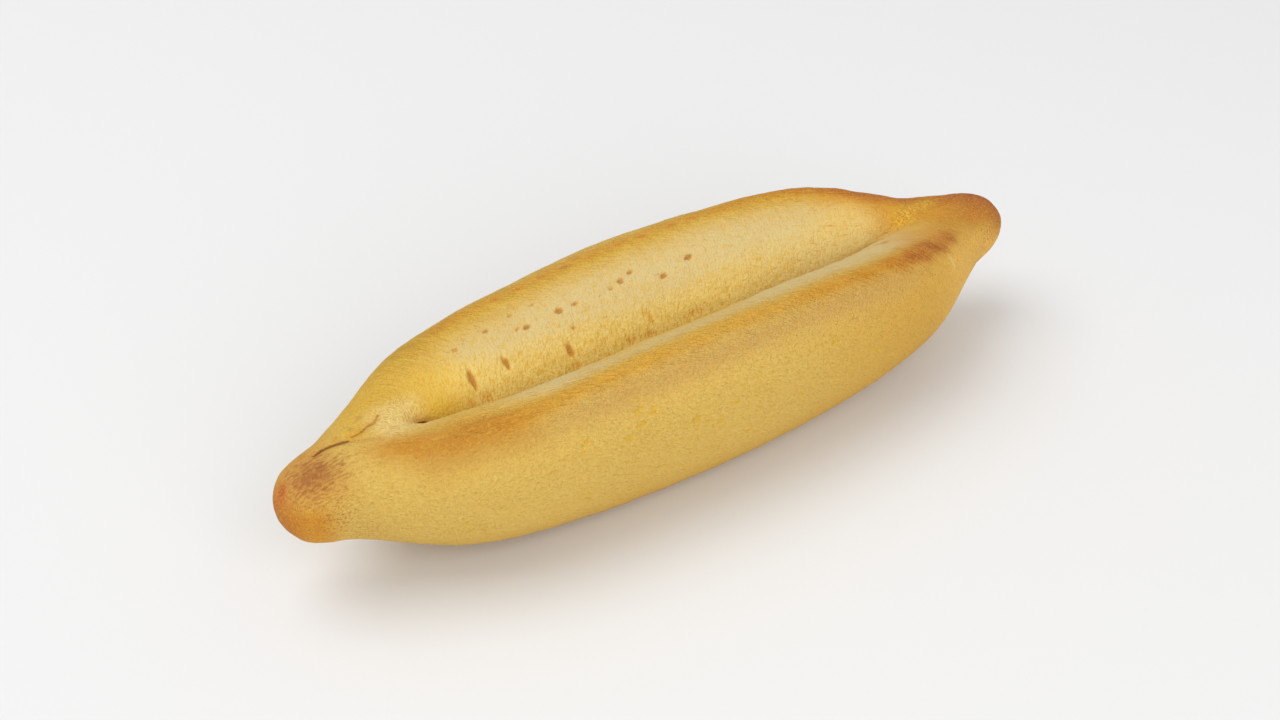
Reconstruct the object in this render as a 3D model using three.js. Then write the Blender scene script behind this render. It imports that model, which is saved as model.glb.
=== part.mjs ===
// A boat-shaped biscuit, baked as one piece: a long roll of dough pinched into a blunt nub at each end and
// cut lengthwise, so that the middle opened in the oven into two rolls with a slit between them.
// Millimetres. +X runs along the biscuit, +Y to its back roll, +Z up. It rests on z = 0.

import * as THREE from 'three';
import { LoftGeometry } from 'three/addons/geometries/LoftGeometry.js';

// Driving dimensions

const LENGTH = 90;
const WIDEST_HEIGHT = 0.6; // where the side is widest, as a share of the height
const FLAT_SHARE = 0.45; // half-width of the flat underside, as a share of the side's half-width
const CUSP_DEPTH = 4; // a slit deeper than this closes to a sharp crease; a shallower one is a soft trough

// Guide lines. Each holds one value at each station along X.

const STATIONS = [ - 39.4, - 36, - 32.5, - 28, - 21, - 11, 0, 11, 21, 28, 32.5, 36, 39.4 ];

const frontHalfWidth = guide( [ 4.4, 6.5, 8.7, 10.5, 11.7, 12.3, 12.9, 12.5, 11.7, 10.3, 8.2, 6.1, 4.2 ] );
const backHalfWidth = guide( [ 4.2, 6.4, 8.9, 11.3, 13.2, 14.7, 15.8, 15.1, 13.3, 10.9, 8.5, 6.1, 3.8 ] );
const frontRidge = guide( [ 0.8, 2.1, 3.4, 5.1, 6.9, 7.8, 8, 8, 8, 7, 4.8, 2.6, 0.4 ] );
const backRidge = guide( [ 0.8, 2.9, 5.2, 7.5, 9.1, 10.2, 10.6, 10.2, 9, 6.9, 4.3, 2, 0.3 ] );
const topHeight = guide( [ 14.8, 15.3, 15.9, 16.5, 17.2, 17.8, 18.1, 18, 17.5, 16.7, 15.7, 14.8, 14.7 ] );
const undersideHeight = guide( [ 6.4, 5.1, 3.6, 2.3, 1.1, 0, 0, 0, 1.1, 2.4, 3.7, 5.2, 6.7 ] );
const slitDepth = guide( [ 0, 0, 0.1, 4, 8, 9.2, 10, 8.9, 7.4, 3.5, 0.7, 0, 0 ] );

// Resolution of the solid

const BODY_STEPS = 60; // sections between the two end stations
const NUB_STEPS = 5; // sections round each nub
const QUARTER_STEPS = 6; // points round each quarter of a roll

// A smooth line through one value per station, never below zero

function guide( values ) {

	const curve = new THREE.CubicInterpolant( STATIONS, values, 1 );
	return ( x ) => Math.max( 0, curve.evaluate( x )[ 0 ] );

}

// The right half of a section: from the middle of the underside, out round the belly, up over the ridge and
// down to the slit. Points are (distance from the slit line, height).

function halfSection( halfWidth, ridge, top, underside, depth ) {

	const belly = underside + ( top - underside ) * WIDEST_HEIGHT;
	const foot = halfWidth * FLAT_SHARE;
	const sharpness = Math.min( depth / CUSP_DEPTH, 1 );
	const points = [];

	for ( let i = 0; i < QUARTER_STEPS; i ++ ) {

		const angle = i / QUARTER_STEPS * Math.PI / 2;
		points.push( new THREE.Vector2(
			foot + ( halfWidth - foot ) * Math.sin( angle ),
			belly - ( belly - underside ) * Math.cos( angle )
		) );

	}

	for ( let i = 0; i < QUARTER_STEPS; i ++ ) {

		const angle = i / QUARTER_STEPS * Math.PI / 2;
		points.push( new THREE.Vector2(
			ridge + ( halfWidth - ridge ) * Math.cos( angle ),
			belly + ( top - belly ) * Math.sin( angle )
		) );

	}

	for ( let i = 0; i < QUARTER_STEPS; i ++ ) {

		const angle = i / QUARTER_STEPS * Math.PI / 2;
		const inward = 1 - Math.sin( angle );
		const crease = Math.cos( angle );
		const trough = ( 1 - Math.cos( Math.PI * inward ) ) / 2;
		const rise = THREE.MathUtils.lerp( trough, crease, sharpness );
		points.push( new THREE.Vector2( ridge * inward, top - depth * ( 1 - rise ) ) );

	}

	return points;

}

// The whole section at x, shrunk about its middle by scale for the rounded nubs

function section( x, scale ) {

	const station = THREE.MathUtils.clamp( x, STATIONS[ 0 ], STATIONS.at( - 1 ) );
	const front = frontHalfWidth( station );
	const back = backHalfWidth( station );
	const top = topHeight( station );
	const underside = undersideHeight( station );
	const depth = slitDepth( station );
	const backHalf = halfSection( back, backRidge( station ), top, underside, depth );
	const frontHalf = halfSection( front, frontRidge( station ), top, underside, depth );
	const slit = new THREE.Vector2( 0, top - depth );
	const middle = new THREE.Vector2( ( back - front ) / 2, ( top + underside ) / 2 );
	const outline = [
		...backHalf,
		slit,
		...frontHalf.map( ( p ) => new THREE.Vector2( - p.x, p.y ) ).reverse()
	];

	return outline.map( ( p ) => {

		const q = p.sub( middle ).multiplyScalar( scale ).add( middle );
		return new THREE.Vector3( x, q.x, q.y );

	} );

}

// The rounded nub beyond the last station at one end: sections that shrink round a quarter circle towards
// the tip, where a last small one is left for the cap. direction is 1 or -1 along X.

function nubSections( direction ) {

	const bodyEnd = STATIONS.at( - 1 );
	const nubLength = LENGTH / 2 - bodyEnd;
	const step = Math.PI / 2 / NUB_STEPS;
	const list = [];

	for ( let i = 0; i < NUB_STEPS; i ++ ) {

		const angle = ( i + 0.5 ) * step;
		const reach = nubLength * Math.cos( angle ) / Math.cos( step / 2 );
		list.push( section( direction * ( bodyEnd + reach ), Math.sin( angle ) ) );

	}

	return list;

}

// The sections from tip to tip: crowded round each nub, even along the body

function sections() {

	const body = [];

	for ( let i = 0; i <= BODY_STEPS; i ++ ) {

		body.push( section( THREE.MathUtils.lerp( STATIONS[ 0 ], STATIONS.at( - 1 ), i / BODY_STEPS ), 1 ) );

	}

	return [ ...nubSections( - 1 ), ...body, ...nubSections( 1 ).reverse() ];

}

function biscuit() {

	const geometry = new LoftGeometry( sections(), { capStart: true, capEnd: true } );
	geometry.computeBoundingBox();

	// the slit line is not quite in the middle of the width, so the solid is centred on its own box

	const centre = geometry.boundingBox.getCenter( new THREE.Vector3() );
	geometry.translate( 0, - centre.y, 0 );

	const crust = new THREE.MeshStandardMaterial( { color: 0xd7b067, roughness: 0.85, metalness: 0 } );
	const mesh = new THREE.Mesh( geometry, crust );
	mesh.name = 'biscuit';
	return mesh;

}

const part = new THREE.Group();
part.add( biscuit() );

export default part;
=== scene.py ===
# %% [markdown]
# # A boat-shaped biscuit
#
# This lesson makes one hard, sweet biscuit of the kind that is shaped like a little boat. On the real thing a
# roll of dough is pinched to a blunt nub at each end and cut along its length. In the oven the cut opens, so
# that two rounded rolls stand side by side with a deep slit between them. Everything is in metres, in the
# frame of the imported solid, and the solid is the gauge that the detailed mesh is made to.

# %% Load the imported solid
import math
import bpy
import numpy as np
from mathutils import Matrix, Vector, noise
from mathutils.bvhtree import BVHTree


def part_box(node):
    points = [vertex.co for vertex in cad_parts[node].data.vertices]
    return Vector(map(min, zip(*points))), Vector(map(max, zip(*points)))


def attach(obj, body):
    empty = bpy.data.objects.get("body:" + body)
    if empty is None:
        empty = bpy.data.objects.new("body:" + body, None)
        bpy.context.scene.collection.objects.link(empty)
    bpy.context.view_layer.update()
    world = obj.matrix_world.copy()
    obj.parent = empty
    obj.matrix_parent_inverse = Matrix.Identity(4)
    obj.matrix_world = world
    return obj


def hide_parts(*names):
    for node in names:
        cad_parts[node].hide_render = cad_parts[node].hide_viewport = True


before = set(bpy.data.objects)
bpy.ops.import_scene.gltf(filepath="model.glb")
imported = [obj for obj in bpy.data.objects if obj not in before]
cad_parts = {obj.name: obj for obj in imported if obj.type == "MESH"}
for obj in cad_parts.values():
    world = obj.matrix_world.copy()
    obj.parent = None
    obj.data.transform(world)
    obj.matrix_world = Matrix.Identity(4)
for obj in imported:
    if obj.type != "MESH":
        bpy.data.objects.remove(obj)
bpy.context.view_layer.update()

MM = 0.001
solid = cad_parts["biscuit"]
low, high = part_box("biscuit")
LENGTH, WIDTH, HEIGHT = high - low
print("The solid measures", [round(side / MM, 1) for side in (LENGTH, WIDTH, HEIGHT)], "mm")

# %% [markdown]
# ## The camera
#
# The camera looks down on the biscuit from its front left. It could be set up with a track-to constraint, but
# three numbers say it more plainly: how far it is turned, how far it is tilted, and how far off it stands.

# %% Camera
VIEW_TURN = math.radians(34.7)
VIEW_TILT = math.radians(37.0)
VIEW_DISTANCE = 161.1 * MM
VIEW_ANGLE = math.radians(45.0)
AIM = Vector((-3.4 * MM, 0.8 * MM, 8.8 * MM))

camera_data = bpy.data.cameras.new("camera")
camera_data.angle = VIEW_ANGLE
camera_data.clip_start = 1 * MM
camera = bpy.data.objects.new("camera", camera_data)
camera.rotation_euler = (math.pi / 2 - VIEW_TILT, 0, -VIEW_TURN)
backwards = camera.rotation_euler.to_matrix() @ Vector((0, 0, 1))
camera.location = AIM + backwards * VIEW_DISTANCE
bpy.context.scene.collection.objects.link(camera)
bpy.context.scene.camera = camera
print("The camera stands at", [round(c / MM) for c in camera.location], "mm")

# %% [markdown]
# ## The floor and the light
#
# The biscuit lies on a plain pale floor. A large soft lamp hangs high over its left side, a second one fills
# in from the front, and the world gives an even light from all round. Soft light keeps the shallow dents and
# pores readable and leaves no hard shadow. The view transform is the plain one, so that a colour set in a
# material is near the colour in the picture.

# %% Floor
def plain_finish(name, colour, roughness):
    material = bpy.data.materials.new(name)
    material.use_nodes = True
    shader = material.node_tree.nodes["Principled BSDF"]
    shader.inputs["Base Color"].default_value = (*colour, 1)
    shader.inputs["Roughness"].default_value = roughness
    return material


FLOOR_SIZE = 4.0
FLOOR_GREY = 0.8
FLOOR_ROUGHNESS = 0.9

bpy.ops.object.select_all(action="DESELECT")
bpy.ops.mesh.primitive_plane_add(size=FLOOR_SIZE)
floor = bpy.context.active_object
floor.name = "floor"
floor.data.materials.append(plain_finish("pale_floor", (FLOOR_GREY, FLOOR_GREY, FLOOR_GREY), FLOOR_ROUGHNESS))
print("Floor", FLOOR_SIZE, "m across")


# %% Lights
def soft_lamp(name, place, size, power):
    """A square soft lamp at a place in metres, facing the biscuit."""
    lamp = bpy.data.lights.new(name, "AREA")
    lamp.shape = "SQUARE"
    lamp.size = size
    lamp.energy = power
    holder = bpy.data.objects.new(name, lamp)
    holder.location = place
    holder.rotation_euler = Vector(place).to_track_quat("Z", "Y").to_euler()
    bpy.context.scene.collection.objects.link(holder)


LAMP_SIZE = 0.7
WORLD_STRENGTH = 0.52

soft_lamp("key", (-0.28, 0.25, 0.75), LAMP_SIZE, power=3.5)
soft_lamp("fill", (-0.12, -0.64, 0.42), LAMP_SIZE, power=3.2)

world = bpy.data.worlds.new("studio")
world.use_nodes = True
background = world.node_tree.nodes["Background"]
background.inputs["Color"].default_value = (1, 1, 1, 1)
background.inputs["Strength"].default_value = WORLD_STRENGTH
bpy.context.scene.world = world
bpy.context.scene.view_settings.view_transform = "Standard"
print("Two lamps and an even world")

# %% [markdown]
# ## Measuring the solid
#
# The detailed mesh has to have the solid's shape, so the solid is measured first. At each place along its
# length a fan of rays goes out from a point inside it, and the hits give the section as a line from the slit
# round to the underside. The fan is densest straight up, where the walls of the slit are almost in line with
# the rays. A Shrinkwrap modifier could do the same, but it tends to jump across a slit as narrow as this one.

# %% Rays
FAR = 1.0
FAN = 140
FAN_CROWDING = 1.7
SLIT_SEARCH = 0.2 * WIDTH
SLIT_STEPS = 120

corners = [vertex.co for vertex in solid.data.vertices]
gauge = BVHTree.FromPolygons(corners, [tuple(face.vertices) for face in solid.data.polygons])


def hit(start, direction):
    return gauge.ray_cast(Vector(start), Vector(direction))[0]


def lowest_top(x):
    """The y of the slit's bottom at x: the lowest place of the upper surface near the middle."""
    places = np.linspace(-SLIT_SEARCH, SLIT_SEARCH, SLIT_STEPS)
    heights = [hit((x, y, FAR), (0, 0, -1)).z for y in places]
    return places[int(np.argmin(heights))]


SLIT_Y = lowest_top(0.0)
print("The slit runs at y =", round(SLIT_Y / MM, 2), "mm")


# %% Sections
def section(x):
    """Two lines of (y, z) points at x, back and front, each from the slit's bottom round to the underside."""
    top = hit((x, SLIT_Y, FAR), (0, 0, -1)).z
    underside = hit((x, SLIT_Y, -FAR), (0, 0, 1)).z
    middle = Vector((x, SLIT_Y, (top + underside) / 2))
    sides = []
    for sign in (1, -1):
        line = []
        for share in np.linspace(0, 1, FAN):
            angle = math.pi * share ** FAN_CROWDING
            line.append(hit(middle, (0, sign * math.sin(angle), math.cos(angle))))
        sides.append(np.array([(p.y, p.z) for p in line]))
    return middle, sides


def arc_lengths(line):
    steps = np.linalg.norm(np.diff(line, axis=0), axis=1)
    return np.concatenate([[0], np.cumsum(steps)])


half_sections = section(0.0)[1]
rounds = [round(arc_lengths(line)[-1] / MM, 1) for line in half_sections]
print("Round the middle, from the slit to the underside:", rounds, "mm")

# %% [markdown]
# ## The cage
#
# A cage is a coarse mesh that a Subdivision Surface will round off. This one is a tube: a circle of vertices
# is extruded step by step from the left nub to the right one, and each open end is filled with a small grid
# of squares, which makes a rounder tip than a fan of triangles. Rings of vertices that follow the dough
# across, and lines that follow it along, give every later dent and streak something to follow.

# %% Tube of rings
AROUND = 36
TUBE_RADIUS = HEIGHT / 4
NUB_REACH = 5.6 * MM
BODY_END = LENGTH / 2 - NUB_REACH
BODY_RINGS = 35
NUB_ANGLES = [math.radians(20), math.radians(40)]
SAME_PLACE = 1e-7

nub_places = [BODY_END + NUB_REACH * math.sin(angle) for angle in NUB_ANGLES]
ring_places = [-x for x in reversed(nub_places)]
ring_places += list(np.linspace(-BODY_END, BODY_END, BODY_RINGS))
ring_places += nub_places

bpy.ops.object.select_all(action="DESELECT")
bpy.ops.mesh.primitive_circle_add(
    vertices=AROUND,
    radius=TUBE_RADIUS,
    location=(ring_places[0], 0, HEIGHT / 2),
    rotation=(0, math.pi / 2, 0),
)
biscuit = bpy.context.active_object
biscuit.name = "baked_biscuit"
bpy.ops.object.transform_apply(location=True, rotation=True, scale=True)
bpy.ops.object.mode_set(mode="EDIT")
bpy.ops.mesh.select_all(action="SELECT")
for here, there in zip(ring_places, ring_places[1:]):
    bpy.ops.mesh.extrude_region_move(TRANSFORM_OT_translate={"value": (there - here, 0, 0)})
bpy.ops.mesh.fill_grid()
bpy.ops.mesh.select_all(action="DESELECT")
bpy.ops.object.mode_set(mode="OBJECT")
for vertex in biscuit.data.vertices:
    vertex.select = abs(vertex.co.x - ring_places[0]) < SAME_PLACE
for edge in biscuit.data.edges:
    edge.select = all(biscuit.data.vertices[v].select for v in edge.vertices)
bpy.ops.object.mode_set(mode="EDIT")
bpy.ops.mesh.fill_grid()
bpy.ops.mesh.select_all(action="SELECT")
bpy.ops.mesh.normals_make_consistent(inside=False)
bpy.ops.object.mode_set(mode="OBJECT")
print("Cage:", len(ring_places), "rings,", len(biscuit.data.polygons), "faces")

# %% [markdown]
# ## Fitting the cage to the solid
#
# The points of each ring are shared out between three landmarks: the bottom of the slit, the crest of the
# roll and the edge of the flat underside. Towards the nubs, where the slit and its crests fade out, the
# points spread evenly instead. The distance round the roll is kept with each vertex, because the bake follows
# it: the crests catch the heat and the inside of the slit stays pale. The painted light and shade follow it
# too: the crumb low in the slit is painted paler against its shade, and thin lines by the front lip are
# painted shade.

# %% Landmarks
CREST_POINT = 8
FOOT_POINT = 16
HALF = AROUND // 2
CREST_DROP = 0.05 * MM
FOOT_RISE = 0.03 * MM
EVEN_FROM = 31 * MM
EVEN_TO = 38 * MM
ON_RIM = 0.999


def smooth_step(edge0, edge1, value):
    t = np.clip((value - edge0) / (edge1 - edge0), 0, 1)
    return t * t * (3 - 2 * t)


def shared_points(line, evenness):
    """HALF + 1 points along a half section, their arc lengths, and the arc length of the crest."""
    arcs = arc_lengths(line)
    heights = line[:, 1]
    crest = arcs[np.nonzero(heights > heights.max() - CREST_DROP)[0].max()]
    foot = arcs[np.nonzero(heights > heights.min() + FOOT_RISE)[0].max()]
    marks = np.interp(np.arange(HALF + 1), [0, CREST_POINT, FOOT_POINT, HALF], [0, crest, foot, arcs[-1]])
    even = np.linspace(0, arcs[-1], HALF + 1)
    places = marks + (even - marks) * evenness
    points = np.stack([np.interp(places, arcs, line[:, axis]) for axis in (0, 1)], axis=1)
    return points, places, crest


rings = []
for x in ring_places:
    evenness = smooth_step(EVEN_FROM, EVEN_TO, abs(x))
    middle, (back_line, front_line) = section(x)
    back_points, back_arcs, back_crest = shared_points(back_line, evenness)
    front_points, front_arcs, front_crest = shared_points(front_line, evenness)
    rings.append({
        "middle": middle,
        "points": np.concatenate([back_points, front_points[-2:0:-1]]),
        "arcs": np.concatenate([back_arcs, front_arcs[-2:0:-1]]),
        "crests": (front_crest, back_crest),
    })
print("Crest of the front roll, mm from the slit:", [round(r["crests"][0] / MM) for r in rings])


# %% Move the cage onto the solid
def place_on_ring(vertex, ring):
    """A tube vertex's new place and arc length, on the ring or, in an end grid, on the nub's dome."""
    above_axis = vertex.co.z - HEIGHT / 2
    out = math.hypot(vertex.co.y, above_axis) / TUBE_RADIUS
    turn = math.atan2(vertex.co.y, above_axis) / (2 * math.pi) * AROUND % AROUND
    before = int(turn) % AROUND
    after = (before + 1) % AROUND
    share = turn - int(turn)
    if out > ON_RIM:
        nearest = round(turn) % AROUND
        y, z = ring["points"][nearest]
        return Vector((vertex.co.x, y, z)), ring["arcs"][nearest]
    y, z = ring["points"][before] * (1 - share) + ring["points"][after] * share
    arc = ring["arcs"][before] * (1 - share) + ring["arcs"][after] * share
    rim = Vector((vertex.co.x, y, z))
    root = Vector((math.copysign(BODY_END, vertex.co.x), ring["middle"].y, ring["middle"].z))
    ahead = Vector((vertex.co.x, ring["middle"].y, ring["middle"].z))
    target = ahead.lerp(rim, min(out, 1))
    half_way = ring["arcs"][HALF] / 2
    return hit(root, target - root), half_way + (arc - half_way) * min(out, 1)


arc_layer = biscuit.data.attributes.new("arc", "FLOAT", "POINT")
for vertex in biscuit.data.vertices:
    nearest = int(np.argmin([abs(vertex.co.x - x) for x in ring_places]))
    place, arc = place_on_ring(vertex, rings[nearest])
    vertex.co = place
    arc_layer.data[vertex.index].value = arc / MM
print("Cage on the solid")

# %% Round the cage off
LEVELS = 3
bpy.ops.object.select_all(action="DESELECT")
biscuit.select_set(True)
bpy.context.view_layer.objects.active = biscuit
rounding = biscuit.modifiers.new("rounding", "SUBSURF")
rounding.levels = LEVELS
rounding.render_levels = LEVELS
bpy.ops.object.modifier_apply(modifier=rounding.name)
bpy.ops.object.shade_smooth()
print("Rounded off:", len(biscuit.data.polygons), "faces")

# %% [markdown]
# ## Where each vertex is on the dough
#
# Baked colour and texture follow the shape: how far along the biscuit, how far round from the slit, and how
# far from the crest of its roll. These are worked out once for every vertex, in millimetres, and both the
# sculpting and the painting below are written in them.

# %% Places on the dough
def read_vertices(source, name, width=3):
    values = np.empty(len(source) * width)
    source.foreach_get(name, values)
    return values.reshape(-1, width)


place = read_vertices(biscuit.data.vertices, "co") / MM
normal = read_vertices(biscuit.data.vertex_normals, "vector")
arc = read_vertices(biscuit.data.attributes["arc"].data, "value", 1)[:, 0]
x, y, z = place.T
front = y < SLIT_Y / MM
back = ~front


def crest_at(x, side):
    crests = np.array([ring["crests"][side] for ring in rings]) / MM
    padded = np.concatenate([crests[:1], crests, crests[-1:]])
    smooth = (padded[:-2] + 2 * padded[1:-1] + padded[2:]) / 4
    return np.interp(x, np.array(ring_places) / MM, smooth)


ridge = arc - np.where(front, crest_at(x, 0), crest_at(x, 1))
print("From", round(ridge.min(), 1), "mm inside the crests to", round(ridge.max(), 1), "mm outside them")


# %% Masks
def hump(value, centre, spread):
    return np.exp(-((value - centre) / spread) ** 2)


def rise(value, start, end):
    return smooth_step(start, end, value)


def window(value, start, full_from, full_to, end):
    return rise(value, start, full_from) * (1 - rise(value, full_to, end))


def ball(centre, radius):
    """A soft round brush at a point in space, in millimetres."""
    return np.exp(-np.sum(((place - np.array(centre)) / radius) ** 2, axis=1))


def dab(side, at_x, at_arc, long, wide, turn=0.0):
    """A soft oval brush on one roll, at a place along it and round it from the slit. turn is in degrees."""
    cos, sin = math.cos(math.radians(turn)), math.sin(math.radians(turn))
    along, across = x - at_x, arc - at_arc
    u, v = along * cos + across * sin, across * cos - along * sin
    return side * np.exp(-(u / long) ** 2 - (v / wide) ** 2)


def lumps(size, seed, octaves=1, points=None):
    """Smooth noise between -1 and 1. size is one lump's size in mm, or its sizes along the three axes."""
    points = (place if points is None else points) / np.array(size)
    total = np.zeros(len(points))
    for octave in range(octaves):
        offset = 17.3 * seed + 5.1 * octave
        doubled = points * 2 ** octave + offset
        total += np.array([noise.noise(Vector(p)) for p in doubled]) / 2 ** octave
    return total


def along(*stops):
    """A value that changes along the biscuit. Each stop is (mm along, value)."""
    places, values = zip(*stops)
    return np.interp(x, places, values)


SLANT = math.radians(33)
signed = np.where(front, -arc, arc)
dough = np.stack([x, signed, np.zeros(len(x))], axis=1)
slanted = np.stack([
    x * math.cos(SLANT) - signed * math.sin(SLANT),
    x * math.sin(SLANT) + signed * math.cos(SLANT),
    np.zeros(len(x)),
], axis=1)
back_crumb = back * window(x, -33, -25, 25, 31)
front_crumb = front * window(x, -26, -18, 26, 32)
crumb = rise(-ridge, 0.6, 2.2) * (back_crumb + front_crumb)
print("Share of the surface that is open crumb:", round(float(crumb.mean()), 2))

# %% [markdown]
# ## Sculpting
#
# Dough rolled by hand is never quite smooth: it has broad lumps, a hollow under the front crest where the
# crust was pulled as the cut opened, fibres across the open crumb, pores, small tears at the left end of the
# cut and loose crumbs at its right end. All of it could be painted by hand in sculpt mode with the Draw,
# Inflate and Crease brushes. Here each stroke is a line of code that says how many millimetres the vertices
# move along their normals, so that it can be tuned and repeated.

# %% Broad shape
push = 0.11 * lumps(9.0, seed=1, octaves=2) + 0.03 * lumps(1.6, seed=2)
push -= 0.5 * front * hump(ridge, 3.4, 1.9) * window(x, -36, -26, -8, 14)
push -= 0.25 * front * hump(ridge, 3.0, 1.8) * window(x, -10, 4, 20, 28)
push += 0.12 * front * hump(ridge, 0.2, 0.9) * window(x, -32, -24, 24, 30)
push -= 0.40 * front * hump(ridge, -0.8, 2.0) * window(x, -33, -28, -20, -10)
push += 0.40 * back * hump(ridge, 0.0, 3.0) * window(x, -33, -27, -21, -13)
push += 0.35 * back * hump(ridge, 0.0, 3.0) * window(x, 11, 17, 22, 27)
push -= 0.35 * back * hump(ridge, 0.0, 3.5) * window(x, 27, 30, 34, 38)
print("Broad shape:", round(push.min(), 2), "to", round(push.max(), 2), "mm")

# %% Open crumb
fibres = lumps((0.7, 2.4, 1), seed=3, points=dough)
fine_fibres = lumps((0.45, 1.2, 1), seed=4, points=dough)
push += crumb * (0.06 * fibres + 0.05 * fine_fibres + 0.05 * lumps(2.6, seed=5))
print("Fibres across the crumb")

# %% Strokes along the crests
strokes = lumps((3.2, 0.55, 1), seed=6, points=slanted)
near_crest = hump(ridge, 0, 3.0) * window(x, -36, -28, 36, 42)
push += near_crest * 0.05 * strokes
print("Slanting strokes along the crests")

# %% [markdown]
# The pores are gas bubbles that the cut laid open, stretched into little spindles. The larger ones are placed
# one by one, as (mm along, mm round from the slit, half length, half width, turn in degrees), and the smaller
# of them were cut open less deeply. A seeded random generator sprinkles the small pores. Nearer the slit the
# wet crumb browned in soft stains.


# %% Pores
def spindle(side, at_x, at_arc, long, wide, turn=0.0):
    """Like dab, but with a pointed oval outline: 1 in its middle and 0 from its edge outwards."""
    cos, sin = math.cos(math.radians(turn)), math.sin(math.radians(turn))
    u = (x - at_x) * cos + (arc - at_arc) * sin
    v = (arc - at_arc) * cos - (x - at_x) * sin
    return side * np.clip(1 - (u / long) ** 2 - np.abs(v) / wide, 0, 1)


LARGE_PORES = [
    (-23.0, 8.7, 0.45, 0.32, 20), (-19.2, 10.2, 0.45, 0.32, 10), (-16.1, 11.1, 0.4, 0.28, 10),
    (-15.2, 9.2, 0.55, 0.34, 0), (-16.1, 9.4, 0.4, 0.28, 30), (-11.2, 9.6, 0.62, 0.42, 0),
    (-9.3, 9.8, 0.5, 0.3, 15), (-4.8, 10.2, 0.42, 0.36, 0), (-3.4, 10.6, 0.55, 0.42, 0),
    (-1.9, 11.2, 0.55, 0.26, 5), (1.3, 9.4, 0.62, 0.34, 0), (5.0, 10.1, 0.62, 0.36, 0),
    (-10.7, 7.4, 0.42, 0.4, 60), (-13.3, 11.4, 0.4, 0.26, 10), (-17.5, 6.5, 0.3, 0.2, 90),
    (-22.9, 5.2, 1.5, 0.42, 92), (-18.9, 6.3, 1.05, 0.34, 104), (-12.0, 5.3, 1.05, 0.4, 90),
]
STAINS = [
    (-22.0, 3.2, 0.8, 0.7), (-23.8, 2.7, 0.5, 0.6), (-11.8, 3.8, 0.4, 0.6), (-5.1, 4.2, 0.9, 0.5),
    (-2.8, 4.3, 0.8, 0.6), (-2.2, 6.0, 0.4, 0.9), (2.8, 4.4, 1.6, 0.5), (7.5, 4.6, 0.15, 0.8),
]
PORE_HALF_LENGTHS = (0.4, 0.62)
PORE_DEPTHS = (0.5, 1.0)
SMALL_PORES = 300
random = np.random.default_rng(7)

pores = np.zeros(len(place))
for at_x, at_arc, long, wide, turn in LARGE_PORES:
    depth = np.interp(long, PORE_HALF_LENGTHS, PORE_DEPTHS)
    pores = np.maximum(pores, depth * spindle(back, at_x, at_arc, long, wide, turn))

stains = np.zeros(len(place))
for at_x, at_arc, long, wide in STAINS:
    stains = np.maximum(stains, dab(back, at_x, at_arc, long, wide))

cut_faces = back + front * (1 - rise(arc, 5, 7))
flecks = np.zeros(len(place))
for _ in range(SMALL_PORES):
    at_x, at_arc = random.uniform(-26, 26), random.uniform(3, 12.5)
    long, wide = random.uniform(0.25, 0.5), random.uniform(0.18, 0.3)
    turn = 90 if at_arc < 8 else 0
    depth = random.uniform(0.3, 1.0)
    flecks = np.maximum(flecks, depth * spindle(cut_faces, at_x, at_arc, long, wide, turn))
flecks *= crumb
push -= 0.4 * pores + 0.15 * flecks + 0.12 * stains
print(len(LARGE_PORES), "large pores,", len(STAINS), "stains and", SMALL_PORES, "small pores")

# %% Dimples in the crust
LARGE_DIMPLES = [
    (-18.7, 18.2), (-14.2, 20.1), (-12.7, 19.4), (-12.6, 18.1), (-11.1, 18.8), (-6.8, 21.9), (-4.1, 23.7),
    (-2.1, 22.4), (10.6, 19.7), (16.5, 22.3),
]
SMALL_DIMPLES = 150

dimples = np.zeros(len(place))
for at_x, at_arc in LARGE_DIMPLES:
    dimples = np.maximum(dimples, spindle(front, at_x, at_arc, long=0.8, wide=0.4))
for _ in range(SMALL_DIMPLES):
    at_x, at_arc = random.uniform(-32, 34), random.uniform(14, 28)
    long, wide = random.uniform(0.3, 0.7), random.uniform(0.2, 0.35)
    side = front if random.random() < 0.5 else back
    depth = random.uniform(0.3, 0.9)
    dimples = np.maximum(dimples, depth * spindle(side, at_x, at_arc, long, wide))
dimples *= rise(ridge, 2.0, 4.0)
push -= 0.12 * dimples
print(len(LARGE_DIMPLES) + SMALL_DIMPLES, "dimples")


# %% Tears at the left end of the slit
def tear(points, width):
    """A soft line through points of (x, y), on the upper surface."""
    line = np.zeros(len(place))
    for (x0, y0), (x1, y1) in zip(points, points[1:]):
        run = np.array([x1 - x0, y1 - y0])
        share = np.clip(((x - x0) * run[0] + (y - y0) * run[1]) / (run @ run), 0, 1)
        gap = np.hypot(x - x0 - share * run[0], y - y0 - share * run[1])
        line = np.maximum(line, np.exp(-(gap / width) ** 2))
    return line * rise(z, 9, 12)


dark_tear = tear([(-40.2, -0.4), (-39.2, -0.25), (-38.2, -0.45), (-37.1, -0.85)], 0.4)
dark_tear = np.maximum(dark_tear, 0.8 * tear([(-37.1, -0.85), (-35.6, -1.9), (-34.2, -2.6)], 0.35))
orange_tear = tear([(-36.6, -0.6), (-35.6, -0.7), (-34.8, -0.4), (-34.0, -0.2), (-33.3, 0.3)], 0.4)
saddle = window(x, -36.0, -33.5, -30, -28) * rise(-np.abs(y + 1.2), -3.4, -1.2) * rise(z, 11, 14)
slit_tip = 1.15 * hump(x, -29.2, 1.2) * hump(arc, 0.0, 0.8)
push -= 0.24 * dark_tear + 0.18 * orange_tear + 0.5 * slit_tip
push += saddle * (0.12 * lumps((0.7, 2.0, 1.0), seed=7) + 0.05 * lumps(0.6, seed=8))
print("Tears pressed in")

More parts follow.
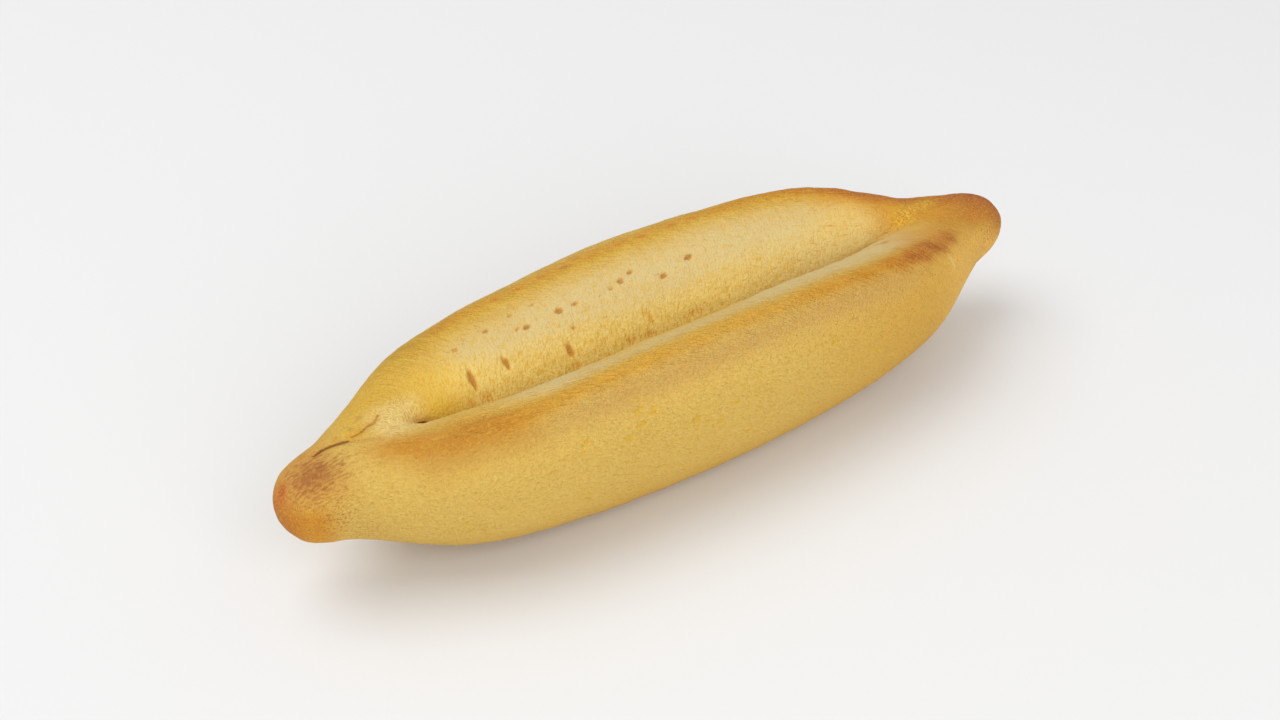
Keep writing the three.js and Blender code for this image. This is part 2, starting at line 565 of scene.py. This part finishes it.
# %% Crumbly right end of the slit
slit_line = along((28.5, -1.5), (31, -0.9), (36, 0.2))
crumbles = window(x, 28.8, 31.0, 35.5, 38.0) * hump(y, slit_line, 1.8) * rise(z, 11, 13)
worms = lumps((0.8, 0.55, 0.55), seed=9) + 0.5 * lumps(0.4, seed=10)
push += crumbles * 0.10 * worms
print("Crumbly end of the slit")

# %% Scorched and wrinkled nubs
scorch = np.maximum(ball((-41.3, -2.7, 14.0), 2.7), 0.7 * ball((-39.4, -3.2, 14.2), 2.0))
wrinkle = lumps((1.3, 0.38, 0.38), seed=11) + 0.3 * lumps(0.35, seed=12)
left_peel = np.maximum(ball((-41.0, -5.6, 10.6), 3.0), 0.7 * ball((-39.0, -6.3, 8.4), 2.6))
right_peel = ball((40.6, -3.4, 11.6), 4.4)
peel = np.maximum(left_peel, right_peel)
push += scorch * 0.07 * wrinkle + peel * 0.035 * lumps(0.4, seed=13)
push += 0.03 * lumps(0.8, seed=14) * (1 - crumb)
print("Wrinkles on the nubs")

# %% Move the vertices, and keep them inside the solid's box
place = place + normal * push[:, None]
place = np.clip(place, np.array(low) / MM, np.array(high) / MM)
biscuit.data.vertices.foreach_set("co", (place * MM).ravel())
biscuit.data.update()
print("Sculpted", len(place), "vertices")

# %% [markdown]
# ## Painting the bake, with some painted light and shade
#
# The colour of a baked crust comes from heat: golden on the walls, orange to brown on the crests and nubs
# that stand nearest to the heat, and pale in the slit, which opened late. Some of the painted colour is light
# and shade: the crumb low in the slit is painted paler against the slit's shade, and thin lines along the
# front lip's inner edge, a line along the bottom of the slit near its left end and part of a duller band
# under the front crest are painted shade. It could be one long chain of shader nodes, but soft, large
# regions are simpler to paint on the vertices, as in vertex paint mode. The fine grain is left to the
# shader, which has no limit of resolution.


# %% Baked colours
def tone(red, green, blue):
    """An eight-bit display colour as the linear one that a shader takes."""
    def linear(level):
        level /= 255
        return level / 12.92 if level <= 0.04045 else ((level + 0.055) / 1.055) ** 2.4
    return np.array([linear(red), linear(green), linear(blue)])


GOLD = tone(224, 188, 95)
HONEY = tone(219, 169, 66)
STRAW = tone(213, 192, 134)
CREAM = tone(236, 206, 118)
MILK = tone(242, 216, 142)
SAFFRON = tone(219, 174, 48)
ORANGE = tone(214, 142, 24)
TAN = tone(200, 150, 64)
RUSSET = tone(190, 106, 36)
BRICK = tone(164, 78, 32)
UMBER = tone(160, 96, 24)
SUNLIT = tone(246, 194, 92)
BUFF = tone(206, 166, 94)
AMBER = tone(202, 136, 40)
SOOT = tone(166, 98, 50)
CHAR = tone(124, 60, 28)
SPICE = tone(210, 116, 28)
BRAN = tone(184, 112, 40)
ACORN = tone(188, 122, 34)
LEMON = tone(240, 190, 66)
SAND = tone(224, 184, 84)
APRICOT = tone(225, 169, 58)
GINGER = tone(206, 128, 24)
RUST = tone(196, 72, 30)

bake_and_painted_light = np.tile(GOLD, (len(place), 1))


def paint(colour, mask):
    """Lays a colour over the vertex colours, as strongly as the mask says at each vertex."""
    global bake_and_painted_light
    bake_and_painted_light = bake_and_painted_light + (colour - bake_and_painted_light) * np.clip(mask, 0, 1)[:, None]


feathered = ridge + 0.5 * strokes
print("Palette ready")

# %% Walls
paint(HONEY, rise(ridge, -1, 1) * rise(x, 2, 24) * 0.8)
paint(HONEY, (1 - rise(z, 1.5, 7.5)) * 0.7)
paint(TAN, (1 - rise(z, 0.0, 1.5)) * 0.6)
# A duller, greyer band under the front crest: partly the crust's own tan and partly painted shade under the
# crest's overhang.
paint(TAN, front * hump(feathered, 2.2, 2.2) * window(x, -36, -31, -26, -16) * 0.8)
paint(BUFF, front * hump(feathered, 2.5, 1.8) * window(x, -26, -16, 20, 28) * 0.8)
paint(SUNLIT, rise(SLIT_Y / MM - y, 0, 3) * rise(x, 24, 33) * rise(arc, 3.5, 6.5) * 0.9)
print("Golden walls, with a duller band under the front crest")

# %% Crumb
paint(STRAW, crumb)
# The crumb low in the slit is paler: partly its own paleness and partly painted light against the shade of
# the narrow slit.
paint(CREAM, crumb * back * (1 - rise(arc, 5.0, 9.0)) * along((-24, 1.0), (6, 1.0), (18, 0.45)))
paint(SAFFRON, back * window(x, -41, -34, -28, -21) * (1 - rise(ridge, 2, 5)) * 0.7)
paint(HONEY, back * window(x, 18, 25, 30, 34) * rise(arc, 3, 6) * (1 - rise(ridge, 1, 4)) * 0.3)
paint(SAFFRON, back * hump(ridge, -1.2, 1.9) * window(x, -30, -22, 24, 30) * 0.7)
left_lip = window(x, -32, -28, -22, -16) * rise(ridge, -3.5, -0.5) * (1 - rise(ridge, 0, 2))
paint(SAFFRON, front * left_lip * 0.6)
paint(SAFFRON, front * hump(ridge, -0.9, 1.1) * window(x, -22, -16, 24, 30) * 0.42)
# Two thin, darker yellow lines along the inner edge of the front lip, where it overhangs the slit: painted
# shade.
paint(SAFFRON, front * hump(ridge, -4.0, 1.3) * window(x, -17, -12, 2, 7) * 0.4)
paint(SAFFRON, front * hump(arc, 9.3, 1.1) * window(x, -14, -10, 4, 9) * 0.4)
print("Pale crumb, paler in the slit, and yellow towards the crests")

# %% Left end
paint(MILK, saddle * 0.75)
paint(TAN, dark_tear * 0.5)
paint(ORANGE, orange_tear * 0.5)
paint(ORANGE, slit_tip * 0.6)
# A darker tan line along the bottom of the slit near its left end: painted shade in the crease.
paint(TAN, hump(arc, 0, 0.5) * window(x, -31, -29.5, -24, -22) * 0.6)
paint(AMBER, front * hump(ridge, 0.2, 2.0) * window(x, -38, -34, -26, -20) * 0.7)
paint(SAFFRON, dab(back, -27.2, 2.0, 2.8, 0.9, turn=14) * 0.65)
paint(RUSSET, window(-x, 37, 41.5, 44, 46) * rise(z, 12.0, 14.0) * 0.55)
paint(ORANGE, rise(-x, 39.4, 42.8) * (1 - rise(z, 11, 14)) * 0.95)
paint(RUSSET, rise(-x, 42.6, 45.0) * 0.75)
for at_y, at_z in ((-1.3, 13.2), (-1.6, 12.8), (-2.0, 12.3)):
    paint(RUST, ball((-44.1, at_y, at_z), 0.45) * 0.85)
for at_x, at_y, at_z in ((-36.2, 0.15, 15.5), (-37.8, 0.15, 15.2), (-34.9, 1.05, 15.6)):
    paint(UMBER, ball((at_x, at_y, at_z), 0.3) * 0.8)
print("Left end painted")

# %% Right end
paint(ORANGE, rise(x, 25, 31) * rise(z, 12, 14.5) * rise(y, -3.0, -0.5) * 0.8)
paint(ORANGE, rise(x, 30, 34) * rise(z, 12, 14) * rise(-np.abs(y + 1.0), -5.0, -3.0) * 0.7)
paint(ORANGE, back * window(x, 20, 26, 34, 38) * rise(ridge, -4.5, -1.5) * (1 - rise(ridge, 1, 4)) * 0.8)
paint(ORANGE, front * window(x, 22, 28, 33, 37) * rise(ridge, -8, -3) * (1 - rise(ridge, 0, 2)) * 0.55)
paint(RUSSET, back * window(x, 24, 29, 36, 40) * rise(ridge, -3.4, -0.8) * (1 - rise(ridge, 1, 4)) * 0.9)
paint(RUSSET, rise(x, 34, 40) * rise(z, 12.5, 14.6) * 0.7)
paint(BRICK, ball((41.6, 0.6, 14.0), 3.6))
paint(BRICK, rise(x, 39.5, 43.0) * rise(z, 9.5, 13) * 0.75)
paint(LEMON, crumbles)
paint(SAND, dab(front, 30.2, 2.8, 2.4, 0.9, turn=-12) * 0.7)
paint(ORANGE, window(x, 31, 34, 37, 39) * rise(z, 12, 14) * hump(y, -2.2, 1.4) * 0.5)
paint(AMBER, dab(front, 34.0, 4.6, 1.8, 2.4) * 0.35)
print("Right end painted")

# %% Browned crests
by_left = (1 - rise(x, -28, -18))[:, None]
by_middle = ((1 - rise(x, 4, 18)) * rise(x, -26, -18))[:, None]
by_right = rise(x, 18, 27)[:, None]
browned = np.tile(ORANGE, (len(place), 1))
browned = browned + (AMBER - browned) * by_left
browned = browned + (APRICOT - browned) * by_middle
browned = browned + (RUSSET - browned) * by_right

front_line = along(
    (-36, 0.0), (-31, 0.4), (-28, 0.6), (-24, 0.6), (-20, 0.0), (0, 0.0), (22, 0.2), (30, 0.6))
front_wide = along((-34, 1.3), (-28, 2.0), (-22, 1.4), (-16, 1.0), (18, 1.0), (26, 1.6), (34, 1.6))
toast = front * hump(ridge, front_line, front_wide) * window(x, -39, -33, 29.5, 36)
back_line = along((-30, -0.2), (20, 0.0))
back_wide = along((-30, 0.8), (10, 0.9), (24, 1.6), (32, 3.0))
toast += back * hump(ridge, back_line, back_wide) * window(x, -30, -22, 36, 40)
toast *= 0.9 + 0.45 * lumps((5.0, 1.5, 1), seed=15, points=slanted)
RIM_SPOTS = (-16.4, -13.5, -10.4, -7.7, -4.3, -0.8, 2.1, 6.1, 8.8)
for at_x in RIM_SPOTS:
    on_rim = float(crest_at(at_x, 1)) - 0.5
    spot = dab(back, at_x, on_rim, 0.75, 0.3)
    paint(SPICE, spot * 0.95)
    toast *= 1 - 0.9 * spot
print("Browned crests, with", len(RIM_SPOTS), "spots along the back one")

# %% Patches on the crests
bruise = np.maximum(dab(front, 27.7, 8.8, 1.4, 0.9), 0.8 * dab(front, 24.7, 10.9, 2.2, 0.4, turn=-25))
scratch = spindle(front, 29.9, 9.9, 0.85, 0.34, turn=62)
toast *= (1 - np.clip(scratch * 2, 0, 1)) * (1 - 0.85 * crumbles)
paint(MILK, scratch * 2)
paint(UMBER, ball((24.4, -4.95, 16.3), 0.45) * 0.8)
paint(UMBER, ball((23.6, -4.6, 16.2), 0.35) * 0.6)
print("Bruise, scratch and specks")


# %% Keep the painting on the mesh
def keep(name, values):
    """Stores one number per vertex under a name that the shader can read."""
    layer = biscuit.data.attributes.new(name, "FLOAT", "POINT")
    layer.data.foreach_set("value", np.asarray(values, dtype=np.float32))


def keep_vectors(name, values):
    layer = biscuit.data.attributes.new(name, "FLOAT_VECTOR", "POINT")
    layer.data.foreach_set("vector", np.asarray(values, dtype=np.float32).ravel())


keep_vectors("bake_and_painted_light", bake_and_painted_light)
keep_vectors("browned", browned)
keep_vectors("dough", dough)
keep("crumb", crumb)
yellowed = along((-24, 0.8), (-6, 1.0), (8, 0.55), (24, 0.4))
keep("yolk", crumb * back * (1 - 0.75 * rise(arc, 5.5, 11)) * yellowed)
keep("pores", pores)
keep("flecks", flecks)
keep("stains", stains)
keep("crest", near_crest)
keep("body", 1 - rise(np.abs(x), 38.5, 41.0))  # 0 on the nubs
keep("toast", toast)
keep("hairs", 0.4 + 0.6 * window(x, -28, -14, 27, 32))  # how far the strokes break up the toast
keep("scorch", scorch)
keep("bruise", bruise)
keep("crumbles", crumbles)
keep("dimples", dimples)
keep("peel", peel)
keep("tears", np.maximum(dark_tear, np.maximum(0.87 * orange_tear, slit_tip)))
keep("under", 1 - rise(z, 1.0, 4.0))  # 1 on the underside
print("Kept on the mesh:", [layer.name for layer in biscuit.data.attributes if not layer.is_internal])

# %% [markdown]
# ## The crust's shader
#
# Node trees are long to wire by hand. A small class wraps a socket, and each operator on it adds the Math
# node that does that sum, so the shader's formula can be read as a formula.

# %% A socket that does sums
class Maths:
    def __init__(self, tree, socket):
        self.tree = tree
        self.socket = socket

    def combine(self, operation, first, second=None, clamp=False):
        node = self.tree.nodes.new("ShaderNodeMath")
        node.operation = operation
        node.use_clamp = clamp
        for slot, value in enumerate([first, second]):
            if isinstance(value, Maths):
                self.tree.links.new(value.socket, node.inputs[slot])
            elif value is not None:
                node.inputs[slot].default_value = value
        return Maths(self.tree, node.outputs[0])

    def __add__(self, other):
        return self.combine("ADD", self, other)

    def __sub__(self, other):
        return self.combine("SUBTRACT", self, other)

    def __mul__(self, other):
        return self.combine("MULTIPLY", self, other)

    def __rsub__(self, other):
        return self.combine("SUBTRACT", other, self)

    __radd__ = __add__

    def clamp(self):
        return self.combine("ADD", self, 0.0, clamp=True)

    def ramp(self, start, end):
        """0 below start, 1 above end, and a straight slope between."""
        return ((self - start) * (1 / (end - start))).clamp()


class Shader:
    """One material's node tree, with one method that adds any node."""

    def __init__(self, name):
        self.material = bpy.data.materials.new(name)
        self.material.use_nodes = True
        self.tree = self.material.node_tree
        self.surface = self.tree.nodes["Principled BSDF"]

    def node(self, kind, settings=None, **inputs):
        node = self.tree.nodes.new("ShaderNode" + kind)
        for name, value in (settings or {}).items():
            setattr(node, name, value)
        for name, value in inputs.items():
            self.feed(node.inputs[name.replace("_", " ")], value)
        return node

    def feed(self, socket, value):
        if isinstance(value, Maths):
            self.tree.links.new(value.socket, socket)
        elif isinstance(value, bpy.types.NodeSocket):
            self.tree.links.new(value, socket)
        else:
            socket.default_value = value

    def number(self, name):
        node = self.node("Attribute", {"attribute_name": name})
        return Maths(self.tree, node.outputs["Fac"])

    def vector(self, name):
        return self.node("Attribute", {"attribute_name": name}).outputs["Vector"]

    def scaled(self, vector, scale):
        return self.node("Mapping", Vector=vector, Scale=scale).outputs["Vector"]

    def turned(self, vector, angle):
        return self.node("Mapping", Vector=vector, Rotation=(0, 0, angle)).outputs["Vector"]

    def noise(self, vector, detail=2.0, rough=0.5, warp=0.0):
        node = self.node("TexNoise", Vector=vector, Scale=1.0)
        for name, value in (("Detail", detail), ("Roughness", rough), ("Distortion", warp)):
            node.inputs[name].default_value = value
        return Maths(self.tree, node.outputs["Fac"])

    def mix(self, factor, first, second):
        """The first colour where factor is 0, and the second where it is 1."""
        node = self.tree.nodes.new("ShaderNodeMix")
        node.data_type = "RGBA"
        self.feed(node.inputs[0], factor)
        for socket, value in ((node.inputs[6], first), (node.inputs[7], second)):
            self.feed(socket, (*value, 1) if isinstance(value, (tuple, np.ndarray)) else value)
        return node.outputs[2]


print("Shader helpers ready")

# %% [markdown]
# The shader starts from the painted colour and lays noises over it, nearly all of them the mark of something
# that happened to the dough: a fine even grain, ripples along the walls from rolling, fibres round the roll
# where the crumb was pulled apart, slanting strokes where the crests browned, wrinkles and peppery peeling on
# the nubs, and worm-like cracks between the loose crumbs. A broad mottle varies the gold. The valleys of the
# grain, ripples and strokes are darker and yellower than their ridges, and most of the noises drive the bump
# too, so that colour and relief agree.

# %% Noises of the crust
crust = Shader("baked_crust")
coordinates = crust.node("TexCoord").outputs["Object"]
in_mm = crust.scaled(coordinates, (1 / MM, 1 / MM, 1 / MM))
on_dough = crust.vector("dough")
on_slant = crust.turned(on_dough, SLANT)
FIBRE_TURN = math.radians(12)

grain = crust.noise(crust.scaled(in_mm, (3.6, 3.6, 3.6)), detail=2.0, rough=0.6)
ripple = crust.noise(crust.scaled(on_slant, (1.9, 4.6, 1.0)), detail=2.0, rough=0.55, warp=0.3)
on_fibres = crust.turned(on_dough, FIBRE_TURN)
fibre = crust.noise(crust.scaled(on_fibres, (4.2, 1.3, 1.0)), detail=2.0, rough=0.55, warp=0.2)
stroke = crust.noise(crust.scaled(on_slant, (0.55, 5.0, 1.0)), detail=2.0, rough=0.6)
wrinkles = crust.noise(crust.scaled(in_mm, (1.2, 4.4, 4.4)), detail=3.0, rough=0.6, warp=0.4)
worm = crust.noise(crust.scaled(in_mm, (1.5, 1.5, 1.5)), detail=1.0, warp=1.5)
mottle = crust.noise(crust.scaled(in_mm, (0.35, 0.35, 0.35)), detail=2.0)
pepper = crust.noise(crust.scaled(in_mm, (4.6, 6.5, 6.5)), detail=1.0)
print("Eight noises")

# %% Where each noise shows
open_crumb = crust.number("crumb")
by_crest = crust.number("crest")
peel_skin = crust.number("peel")
crumbly = crust.number("crumbles")
on_wall = (1 - open_crumb) * (1 - by_crest) * (1 - crust.number("under")) * crust.number("body")
pore = (crust.number("pores") + grain * 0.3 + fibre * 0.2).ramp(0.3, 0.75)
fleck = (crust.number("flecks") + grain * 0.25 + fibre * 0.15).ramp(0.38, 0.7)
dimple = (crust.number("dimples") + grain * 0.4).ramp(0.35, 0.7)
stain = (crust.number("stains") * 0.8 + fibre * 2.2).ramp(1.35, 2.0)
toasted = (crust.number("toast") + (stroke - 0.5) * crust.number("hairs") * 2.8).ramp(0.2, 0.95)
scorched = (crust.number("scorch") + wrinkles * 2.8).ramp(1.75, 2.45)
bruised = (crust.number("bruise") + stroke * 1.2).ramp(0.85, 1.5)
torn = (crust.number("tears") + grain * 0.3).ramp(0.9, 1.08)
crack = crumbly * (1 - (worm - 0.5) * (worm - 0.5) * 220).clamp()
print("Masks for the crust's noises")

# %% Crust
colour = crust.mix(crust.number("yolk") * fibre.ramp(0.47, 0.62) * 0.65, crust.vector("bake_and_painted_light"), SAFFRON)
colour = crust.mix(open_crumb * fibre.ramp(0.52, 0.68) * 0.15, colour, SAFFRON)
colour = crust.mix(toasted, colour, crust.vector("browned"))
colour = crust.mix(by_crest * (1 - stroke.ramp(0.41, 0.52)) * 0.5, colour, AMBER)
colour = crust.mix(on_wall * (1 - ripple.ramp(0.38, 0.52)) * 0.33, colour, TAN)
colour = crust.mix((1 - grain.ramp(0.34, 0.52)) * (0.45 - open_crumb * 0.25), colour, HONEY)
colour = crust.mix(mottle.ramp(0.45, 0.75) * 0.2, colour, HONEY)
colour = crust.mix(dimple * 0.7, colour, SAFFRON)
colour = crust.mix(crack * 0.75, colour, GINGER)
colour = crust.mix(scorched * 0.8, colour, SOOT)
colour = crust.mix(torn * 0.8, colour, CHAR)
colour = crust.mix(bruised * 0.5, colour, BRICK)
colour = crust.mix(peel_skin * (1 - pepper.ramp(0.38, 0.50)) * 0.7, colour, BRAN)
colour = crust.mix(stain * 0.6, colour, ORANGE)
colour = crust.mix(fleck * 0.5, colour, SAFFRON)
colour = crust.mix(pore * 0.85, colour, ACORN)
print("Colour of the crust")

# %% Relief and shine
ROUGHNESS = 0.62
GRAIN_ROUGHNESS = 0.25
SHINE = 0.3
BUMP_DEPTH = 1 * MM

relief = grain * (0.34 - open_crumb * 0.19)
relief += on_wall * ripple * 0.2
relief += open_crumb * fibre * 0.1
relief += by_crest * stroke * 0.4
relief += crust.number("scorch") * wrinkles * 0.3
for hollow, depth in ((crack, 0.06), (pore, 0.1), (dimple, 0.08), (torn, 0.15)):
    relief -= hollow * depth
relief += peel_skin * pepper * 0.2

crust.feed(crust.surface.inputs["Base Color"], colour)
crust.feed(crust.surface.inputs["Roughness"], ROUGHNESS + grain * GRAIN_ROUGHNESS)
bump = crust.node("Bump", Height=relief, Distance=BUMP_DEPTH, Strength=1.0)
crust.feed(crust.surface.inputs["Normal"], bump.outputs["Normal"])
crust.surface.inputs["Specular IOR Level"].default_value = SHINE
biscuit.data.materials.append(crust.material)
print("The crust has", len(crust.tree.nodes), "nodes")

# %% Finish
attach(biscuit, "root")
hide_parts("biscuit")
